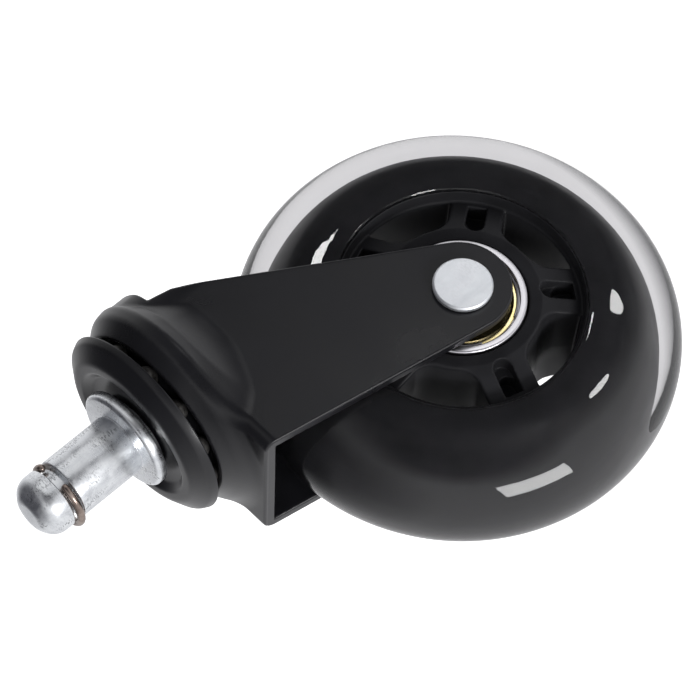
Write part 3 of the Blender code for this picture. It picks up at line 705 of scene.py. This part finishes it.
def build_stem(material):
    """One turned part: nose, shank with its ring groove, flange, step, kingpin and peened end."""
    groove_low = GROOVE_MIDDLE - GROOVE_HALF_WIDTH
    groove_high = GROOVE_MIDDLE + GROOVE_HALF_WIDTH
    bottom = node_span("stem", 2)[0]
    end = STEM_TOP - STEM_TRIM
    body = rounded([
        (0, end, 0),
        (NOSE_RADIUS, end, 2.6),
        (SHANK_RADIUS, end - NOSE_HEIGHT, 3.2),
        (SHANK_RADIUS, groove_high, 0.3),
        (GROOVE_RADIUS, groove_high, 0.3),
        (GROOVE_RADIUS, groove_low, 0.3),
        (SHANK_RADIUS, groove_low, 0.35),
        (SHANK_RADIUS, 0.5, 0),
        (SHANK_RADIUS - FLANGE_UNDERCUT, 0.25, 0),
        (SHANK_RADIUS - FLANGE_UNDERCUT, 0, 0.1),
        (FLANGE_RADIUS, 0, 0.75),
        (FLANGE_RADIUS, -FLANGE_THICKNESS, 0.45),
        (STEP_RADIUS, -FLANGE_THICKNESS, 0.2),
        (STEP_RADIUS, STEP_LOW, 0.2),
        (KINGPIN_RADIUS, STEP_LOW, 0.2),
        (KINGPIN_RADIUS, PEENED_TOP, 0.1),
        (PEENED_RADIUS, PEENED_TOP, 0.3),
        (PEENED_RADIUS, bottom, 1.2),
        (0, bottom, 0),
    ])
    bm = revolve(body)
    new_piece("stem_turned", bm, "stem", ["stem"], material)


def build_grip_ring(material):
    """Split ring of spring wire, resting against one side of the stem's groove."""
    offset = Vector((math.cos(RING_OPEN_SIDE), math.sin(RING_OPEN_SIDE), 0)) * RING_OFFSET
    centre = offset + Vector((0, 0, GROOVE_MIDDLE))
    bm = bent_wire(RING_RADIUS, WIRE_RADIUS, RING_GAP, RING_OPEN_SIDE + RING_GAP_SHIFT, "Z", centre)
    new_piece("grip_ring_wire", bm, "grip_ring", ["grip_ring"], material)


def build_cap(material):
    """Pressed dish: flat floor, raised ridge, rolled lip and a raceway underneath."""
    race = arc((UPPER_PITCH, UPPER_HEIGHT), RACE_RADIUS, math.radians(40), math.radians(140), RACE_POINTS)
    outline = rounded([
        (SWIVEL_BORE, CAP_FLOOR, 0.2), (10.9, CAP_FLOOR, 0.9), (12.2, CAP_RIDGE, 1.0),
        (14.2, CAP_RIDGE, 2.2), (17.0, -4.2, 1.4), (17.7, -5.6, 0.25), (16.9, -5.65, 0.25), *sharp(race),
        (11.7, CAP_UNDERSIDE, 0.2), (SWIVEL_BORE, CAP_UNDERSIDE, 0.2)])
    bm = revolve(outline, closed=True)
    new_piece("swivel_cap_dish", bm, "stem", ["swivel_cap"], material)


def build_lower_race(material):
    """Washer with a raceway on top, held by the kingpin's peened end."""
    race = arc((LOWER_PITCH, LOWER_HEIGHT), RACE_RADIUS, math.radians(-140), math.radians(-40), RACE_POINTS)
    outline = rounded([
        (SWIVEL_BORE, WASHER_TOP, 0.1), *sharp(race), (WASHER_RADIUS, WASHER_TOP, 0.4),
        (WASHER_RADIUS, WASHER_BOTTOM, 0.3), (SWIVEL_BORE, WASHER_BOTTOM, 0.2)])
    bm = revolve(outline, closed=True)
    new_piece("lower_race_ring", bm, "stem", ["lower_race_washer"], material)


def build_swivel_balls(material):
    """The swivel's two ball rows, each one piece that stands for all its balls."""
    for row, count, pitch, height in SWIVEL_ROWS:
        nodes = [f"{row}_ball_{index + 1:02d}" for index in range(count)]
        bm = ball_row(count, pitch, height, "Z", (0, 0, 0))
        new_piece(f"{row}_balls", bm, f"{row}_row", nodes, material)


# ---------------------------------------------------------------- fork

def tangent_turn(start, centre, radius, side):
    """Angle, seen from the circle's centre, of the tangent point from a start point."""
    towards = math.atan2(start[1] - centre[1], start[0] - centre[0])
    distance = math.hypot(start[0] - centre[0], start[1] - centre[1])
    return towards + side * math.acos(radius / distance)


def fork_side_outline():
    """Side view of the fork, as (x, z): skirt, leading edge, round tip and trailing edge."""
    centre = (AXLE_X + LEG_TIP_FORWARD, AXLE_Z)
    lead = tangent_turn(SIDE_OUTLINE_FRONT[-1], centre, LEG_TIP_RADIUS, -1)
    trail = tangent_turn(SIDE_OUTLINE_REAR[0], centre, LEG_TIP_RADIUS, 1)
    tip = arc(centre, LEG_TIP_RADIUS, lead, trail - 2 * math.pi, 33)
    return list(SIDE_OUTLINE_FRONT) + tip + list(SIDE_OUTLINE_REAR)


def fork_field(x, y, z):
    """One sheet pressed into a round head and a channel, then trimmed by its side view."""
    across = np.hypot(x, y)
    flat_sides = np.abs(y) - FORK_HALF_WIDTH
    front = np.where(x > 0, across, np.abs(y)) - FORK_FRONT_RADIUS
    plan = soft_max(flat_sides, front, CORNER_BEND)
    channel = soft_max(plan, z - CROWN_TOP, CROWN_BEND)
    head = outline_distance(across, z, rounded(HEAD_OUTLINE, 4))
    overhang = np.clip((HEAD_FLUSH_X - x) / HEAD_FADE, 0, 1)
    overhang = overhang ** 2 * (3 - 2 * overhang)
    outer = soft_min(channel, head, HEAD_BLEND * overhang + SHEET_ROUNDING)
    race = RACE_RADIUS - np.hypot(across - UPPER_PITCH, z - UPPER_HEIGHT)
    outer = soft_max(outer, race, BORE_ROUNDING)
    sheet = np.maximum(outer, -outer - SHEET)
    side = outline_distance(x, z, fork_side_outline())
    fork = soft_max(sheet, side, SHEET_ROUNDING)
    fork = soft_max(fork, KING_BORE_RADIUS - across, SHEET_ROUNDING)
    fork = np.maximum(fork, RACE_RADIUS - np.hypot(across - LOWER_PITCH, z - LOWER_HEIGHT))
    from_axle = np.hypot(x - AXLE_X, z - AXLE_Z)
    inner_face = FORK_HALF_WIDTH - SHEET - LEG_BOSS_RISE
    boss_depth = np.abs(np.abs(y) - inner_face - LEG_BOSS_HALF_DEPTH) - LEG_BOSS_HALF_DEPTH
    boss = np.maximum(from_axle - LEG_BOSS_RADIUS, boss_depth)
    fork = soft_min(fork, boss, LEG_BOSS_RISE)
    return soft_max(fork, AXLE_HOLE_RADIUS - from_axle, BORE_ROUNDING)


def build_fork(material):
    """The pressed sheet of the fork, meshed from its field."""
    low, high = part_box("fork")
    mesh = implicit_mesh("fork_pressing", fork_field, low / MM, high / MM, FINE_STEP)
    finish_piece("fork_pressing", mesh, "fork", ["fork"], material)


def build_rivet(material):
    """Flat head with a bevelled edge on the near side, a smaller set tail on the far side."""
    head_top = RIVET_HEAD_TOP + RIVET_HEAD_TRIM
    head_low = -FORK_HALF_WIDTH - RIVET_GAP
    tail_low = FORK_HALF_WIDTH + RIVET_GAP
    outline = rounded([
        (0, head_top, 0), (RIVET_HEAD_FLAT, head_top, 0.3),
        (RIVET_HEAD_RADIUS, head_top + RIVET_HEAD_BEVEL, 0.2), (RIVET_HEAD_RADIUS, head_low, 0.15),
        (RIVET_SHANK_RADIUS, head_low, 0.1), (RIVET_SHANK_RADIUS, tail_low, 0.1),
        (RIVET_TAIL_RADIUS, tail_low, 0.15), (RIVET_TAIL_RADIUS, RIVET_TAIL_TOP - RIVET_TAIL_BEVEL, 0.4),
        (RIVET_TAIL_FLAT, RIVET_TAIL_TOP, 1.2), (0, RIVET_TAIL_TOP, 0)])
    bm = revolve(outline, "Y", (AXLE_X, 0, AXLE_Z))
    new_piece("axle_rivet_turned", bm, "fork", ["axle_rivet"], material)


def build_spacer(material):
    """Tube between the two bearings' inner rings."""
    outline = rounded([
        (SPACER_RADIUS, SPACER_HALF_LENGTH, 0.2), (SPACER_RADIUS, -SPACER_HALF_LENGTH, 0.2),
        (BEARING_BORE, -SPACER_HALF_LENGTH, 0.2), (BEARING_BORE, SPACER_HALF_LENGTH, 0.2)])
    bm = revolve(outline, "Y", (AXLE_X, 0, AXLE_Z), closed=True)
    new_piece("bearing_spacer_tube", bm, "fork", ["bearing_spacer"], material)


# ---------------------------------------------------------------- bearings

def build_bearing(side, sign, steel, gilt):
    """One 608 bearing on the near (-1) or far (1) side: rings, balls, and a shield and clip on each face."""
    centre = (AXLE_X, sign * BEARING_CENTRE, AXLE_Z)
    half = BEARING_HALF_WIDTH
    seat = SHIELD_SEAT_DEPTH
    groove_centre = (BEARING_PITCH, 0)
    outer_groove = arc(groove_centre, RACE_RADIUS, math.radians(-42), math.radians(42), RACE_POINTS)
    outer = rounded([
        (OUTER_SHOULDER, seat, 0.1), (SHIELD_SEAT_RADIUS, seat, 0.05), (SHIELD_SEAT_RADIUS, half, 0.15),
        (BEARING_RADIUS, half, 0.4), (BEARING_RADIUS, -half, 0.4), (SHIELD_SEAT_RADIUS, -half, 0.15),
        (SHIELD_SEAT_RADIUS, -seat, 0.05), (OUTER_SHOULDER, -seat, 0.1), *sharp(outer_groove)])
    bm = revolve(outer, "Y", centre, closed=True)
    new_piece(f"{side}_outer_race", bm, "wheel", [f"{side}_outer_ring"], steel)
    inner_groove = arc(groove_centre, RACE_RADIUS, math.radians(140), math.radians(220), RACE_POINTS)
    inner = rounded([
        *sharp(inner_groove), (INNER_SHOULDER, -half, 0.3), (BEARING_BORE, -half, 0.3),
        (BEARING_BORE, half, 0.3), (INNER_SHOULDER, half, 0.3)])
    bm = revolve(inner, "Y", centre, closed=True)
    new_piece(f"{side}_inner_race", bm, "fork", [f"{side}_inner_ring"], steel)
    balls = [f"{side}_ball_{index + 1:02d}" for index in range(BEARING_BALLS)]
    bm = ball_row(BEARING_BALLS, BEARING_PITCH, 0, "Y", centre)
    new_piece(f"{side}_balls", bm, f"{side}_row", balls, steel)
    for face, outward in (("outboard", sign), ("inboard", -sign)):
        label = f"{side}_{face}"
        section = [(radius, outward * height) for radius, height in rounded(SHIELD_FACE + SHIELD_BACK, 3)]
        bm = revolve(section, "Y", centre, closed=True)
        new_piece(f"{label}_cover", bm, "wheel", [f"{label}_shield"], gilt)
        clip_centre = (AXLE_X, centre[1] + outward * CLIP_HEIGHT, AXLE_Z)
        bm = bent_wire(CLIP_RADIUS, CLIP_WIRE_RADIUS, CLIP_GAP, 0, "Y", clip_centre, 96, 8)
        new_piece(f"{label}_wire", bm, "wheel", [f"{label}_clip"], steel)


# ---------------------------------------------------------------- wheel

def superellipse(knee, crown, half_width, count):
    """A bulging section from one side wall over the crown to the other, as (radius, width)."""
    points = []
    for turn in np.linspace(0, math.pi, count):
        radius = knee + (crown - knee) * math.sin(turn) ** (2 / TYRE_EXPONENT)
        width = math.copysign(half_width * abs(math.cos(turn)) ** (2 / TYRE_EXPONENT), math.cos(turn))
        points.append((radius, width))
    return points


def core_section():
    """Half section of hub, web and rim, closed past the wheel's middle plane."""
    inner = rounded([
        (HUB_STOP_RADIUS, PAST_MIDDLE, 0), (HUB_STOP_RADIUS, SEAT_DEPTH, 0.2), (SEAT_RADIUS, SEAT_DEPTH, 0),
        (SEAT_RADIUS, HUB_FACE, 0.25), (HUB_RADIUS, HUB_FACE, 0.8), (RIM_BORE_RADIUS, SPOKE_FACE, 0.4),
        (OPENING_RADIUS, OPENING_FACE, 0.15), (OPENING_LIP_RADIUS, OPENING_FACE, 0.15),
        (RIM_STEP_RADIUS, RIM_HALF_WIDTH, 0)])
    rim = superellipse(RIM_KNEE_RADIUS, RIM_RADIUS, RIM_HALF_WIDTH, RIM_POINTS)
    near_half = rim[:RIM_POINTS // 2 + 1]
    return inner + near_half + [(RIM_RADIUS, PAST_MIDDLE)]


def folded(x, z, offset):
    """Distance along and beside the nearest spoke's centre line, and the angle from it.

    The offset turns all the centre lines by an angle.
    """
    sector = 2 * math.pi / SPOKE_COUNT
    turn = np.arctan2(z, x) - FIRST_SPOKE - offset
    turn = np.abs((turn + sector / 2) % sector - sector / 2)
    radius = np.hypot(x, z)
    return radius * np.cos(turn), radius * np.sin(turn), turn


def window_field(x, y, z):
    """The five windows between spokes, narrowest at the middle plane."""
    half_sector = math.pi / SPOKE_COUNT
    _, _, turn = folded(x, z, half_sector)
    radius = np.hypot(x, z)
    inset = WINDOW_DRAFT * (1 - np.minimum(np.abs(y) / WHEEL_HALF_WIDTH, 1))
    flank = SPOKE_HALF_WIDTH + inset - radius * np.sin(half_sector - turn)
    hub_end = soft_max(flank, WINDOW_INNER + inset - radius, WINDOW_ROUNDING)
    return soft_max(hub_end, radius - WINDOW_OUTER + inset, WINDOW_RIM_ROUNDING)


def slot_field(x, y, z):
    """The stepped slots along the spokes, cut from both faces."""
    along, beside, _ = folded(x, z, 0)
    slots = []
    for start, floor in SLOT_STEPS:
        capsule = np.hypot(np.minimum(along - start, 0), beside) - SLOT_HALF_WIDTH
        open_end = np.maximum(capsule, along - SLOT_END)
        slots.append(soft_max(open_end, floor - np.abs(y), SLOT_EDGE))
    return np.minimum(*slots)


def core_field(x, y, z):
    """Hub, spokes and rim as one moulding, with the windows and slots taken out."""
    x = x - AXLE_X
    z = z - AXLE_Z
    body = outline_distance(np.hypot(x, z), np.abs(y), core_section())
    body = soft_max(body, -window_field(x, y, z), MOULD_EDGE)
    return soft_max(body, -slot_field(x, y, z), SLOT_MOUTH_EDGE)


def build_core(material):
    """The moulded core of the wheel, meshed from its field."""
    low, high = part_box("wheel_core")
    mesh = implicit_mesh("wheel_core_moulding", core_field, low / MM, high / MM, FINE_STEP)
    finish_piece("wheel_core_moulding", mesh, "wheel", ["wheel_core"], material)


def build_tyre(material):
    """The tyre is cast on the core, so its inner face lies just inside the core's rim."""
    outer = superellipse(TYRE_SIDE_RADIUS, WHEEL_RADIUS, WHEEL_HALF_WIDTH, TYRE_POINTS)
    inner_width = RIM_HALF_WIDTH - TYRE_BITE
    inner = superellipse(RIM_KNEE_RADIUS, RIM_RADIUS - TYRE_BITE, inner_width, TYRE_INNER_POINTS)
    near_lip = [(TYRE_EDGE_RADIUS, inner_width), *TYRE_LIP]
    far_lip = [(radius, -width) for radius, width in reversed(near_lip)]
    outline = near_lip + outer + far_lip + list(reversed(inner))
    bm = revolve(outline, "Y", (AXLE_X, 0, AXLE_Z), closed=True, segments=TYRE_SEGMENTS)
    new_piece("tyre_casting", bm, "wheel", ["tyre"], material)


# ---------------------------------------------------------------- studio

def build_floor():
    """A pale floor at the foot of the wheel, seen only by the camera."""
    mesh = bpy.data.meshes.new("floor")
    reach = FLOOR_REACH
    corners = [(-reach, -reach), (reach, -reach), (reach, reach), (-reach, reach)]
    mesh.from_pydata([(x, y, FLOOR_HEIGHT) for x, y in corners], [], [(0, 1, 2, 3)])
    floor = bpy.data.objects.new("floor", mesh)
    bpy.context.scene.collection.objects.link(floor)
    material, tree, shader, place = shader_nodes("pale_floor", (0.9, 0.9, 0.9), 0.8)
    shader.inputs["Emission Color"].default_value = (1, 1, 1, 1)
    shader.inputs["Emission Strength"].default_value = 1.0
    paint_tones(tree, shader, noise(tree, place, 4), (0.89, 0.89, 0.89), (0.91, 0.91, 0.91))
    mesh.materials.append(material)
    floor.visible_diffuse = False
    floor.visible_glossy = False
    floor.visible_transmission = False
    floor.visible_shadow = False


def build_world():
    """White to the camera. As a light source, darker towards each of the dark sides."""
    world = bpy.data.worlds.new("studio")
    bpy.context.scene.world = world
    world.use_nodes = True
    tree = world.node_tree
    background = tree.nodes["Background"]
    place = tree.nodes.new("ShaderNodeTexCoord")
    surround = None
    for side, start, end in DARK_SIDES:
        towards = tree.nodes.new("ShaderNodeVectorMath")
        towards.operation = "DOT_PRODUCT"
        towards.inputs[1].default_value = Vector(side).normalized()
        tree.links.new(place.outputs["Generated"], towards.inputs[0])
        shade = two_tone(tree, towards.outputs["Value"], SURROUND_LIGHT, SURROUND_DARK, start, end)
        if surround:
            product = mix_colours(tree, a=surround, b=shade, blend="MULTIPLY")
            product.inputs["Factor"].default_value = 1
            shade = product.outputs["Result"]
        surround = shade
    path = tree.nodes.new("ShaderNodeLightPath")
    choice = mix_colours(tree, a=surround, factor=path.outputs["Is Camera Ray"])
    choice.inputs["B"].default_value = (1, 1, 1, 1)
    tree.links.new(choice.outputs["Result"], background.inputs["Color"])


def build_softbox(name, direction, distance, size, power, along=(0, 0, 1), pieces=(), shape="RECTANGLE"):
    """A flat lamp that faces the wheel from a direction, its first side laid along a vector.

    Distance and size are in metres, and power is in watts. If pieces are named, the lamp lights only those.
    """
    target = Vector((AXLE_X * MM, 0, AXLE_Z * MM))
    away = Vector(direction).normalized()
    side = Vector(along) - Vector(along).dot(away) * away
    side.normalize()
    data = bpy.data.lights.new(name, "AREA")
    data.shape = shape
    data.size, data.size_y = size
    data.energy = power
    light = bpy.data.objects.new(name, data)
    turn = Matrix((side, away.cross(side), away)).transposed()
    light.matrix_world = Matrix.Translation(target + away * distance) @ turn.to_4x4()
    light.visible_camera = False
    bpy.context.scene.collection.objects.link(light)
    if pieces:
        group = bpy.data.collections.new(name + "_pieces")
        for piece in pieces:
            group.objects.link(bpy.data.objects[piece])
        light.light_linking.receiver_collection = group


def build_camera():
    """The camera is rolled, so that the standing caster seems to lie with its stem to the lower left."""
    place = Vector(CAMERA_PLACE)
    aim = Vector(CAMERA_AIM)
    roll = math.radians(CAMERA_ROLL)
    data = bpy.data.cameras.new("camera")
    data.lens = CAMERA_LENS
    data.sensor_width = 36
    data.clip_start = 0.01
    camera = bpy.data.objects.new("camera", data)
    turn = (aim - place).to_track_quat("-Z", "Y").to_matrix() @ Matrix.Rotation(roll, 3, "Z")
    camera.matrix_world = Matrix.Translation(place) @ turn.to_4x4()
    bpy.context.scene.collection.objects.link(camera)
    bpy.context.scene.camera = camera
    bpy.context.scene.view_settings.view_transform = "Standard"


def build_lamps():
    """Soft lamps for the coating and metal, and small ones that give the clear tyre its highlights."""
    tyre = ("tyre_casting",)
    near_metal = ("axle_rivet_turned", "near_outer_race", "near_outboard_cover")
    hub = ("fork_pressing", *near_metal, "near_outboard_wire")
    bright = ("stem_turned", "grip_ring_wire", *near_metal)
    others = [piece.name for piece in bpy.data.objects if piece.type == "MESH" and piece.name not in tyre]
    side = (-0.88, -0.40, 0.15)
    build_softbox("key", side, 1.2, (0.6, 0.2), 6, pieces=others)
    build_softbox("streak", side, 1.2, (0.6, 0.4), 8.3, pieces=tyre)
    build_softbox("window", (0.45, -0.82, -0.33), 1.0, (0.12, 0.036), 0.25, (0.79, 0.23, 0.57), tyre)
    build_softbox("teardrop", (0.158, -0.812, -0.56), 1.0, (0.20, 0.046), 0.32, (-0.73, 0.236, -0.645),
                  tyre, "ELLIPSE")
    build_softbox("sliver", (-0.11, -0.868, -0.48), 1.0, (0.10, 0.10), 0.35, (-0.95, 0.1, -0.2),
                  tyre, "ELLIPSE")
    build_softbox("fill", (0.38, -0.86, -0.34), 1.0, (1.1, 1.1), 2.7, pieces=bright)
    build_softbox("gleam", (0.346, -0.859, -0.376), 1.0, (0.3, 0.3), 0.3, pieces=("near_outboard_cover",))
    build_softbox("glow", (0.23, -0.90, -0.39), 1.0, (0.25, 0.25), 0.3, (-0.937, -0.338, -0.089), hub)


def main():
    """Every piece with its material, then the studio around them."""
    zinc = make_zinc("zinc_plate", (0.62, 0.64, 0.67), (0.88, 0.90, 0.92), marks=(0.05, 0.05, 1.0),
                     relief=0.000012, roughness=0.2, wear=1)
    rivet_zinc = make_zinc("rivet_zinc", (0.76, 0.79, 0.82), (0.88, 0.90, 0.93), marks=(1.0, 0.05, 1.0),
                           relief=0.000001, roughness=0.45, wear=0.15)
    steel = make_bearing_steel()
    gilt = make_gilt()
    paint = make_black_paint()

    build_stem(zinc)
    build_grip_ring(make_spring_steel())
    build_cap(paint)
    build_lower_race(zinc)
    # The swivel balls' steel is dark partly from a grease film and partly as painted shade for the gap under
    # the cap.
    build_swivel_balls(make_grease_and_shade_steel())
    build_fork(paint)
    build_rivet(rivet_zinc)
    build_spacer(zinc)
    build_bearing("near", -1, steel, gilt)
    build_bearing("far", 1, steel, gilt)
    build_core(make_black_nylon())
    build_tyre(make_clear_polyurethane())
    cage = make_cage_nylon()
    for side in ("near", "far"):
        node = frame["nodes"][side + "_cage"]
        node.data.materials.clear()
        node.data.materials.append(cage)

    build_floor()
    build_world()
    build_lamps()
    build_camera()


main()
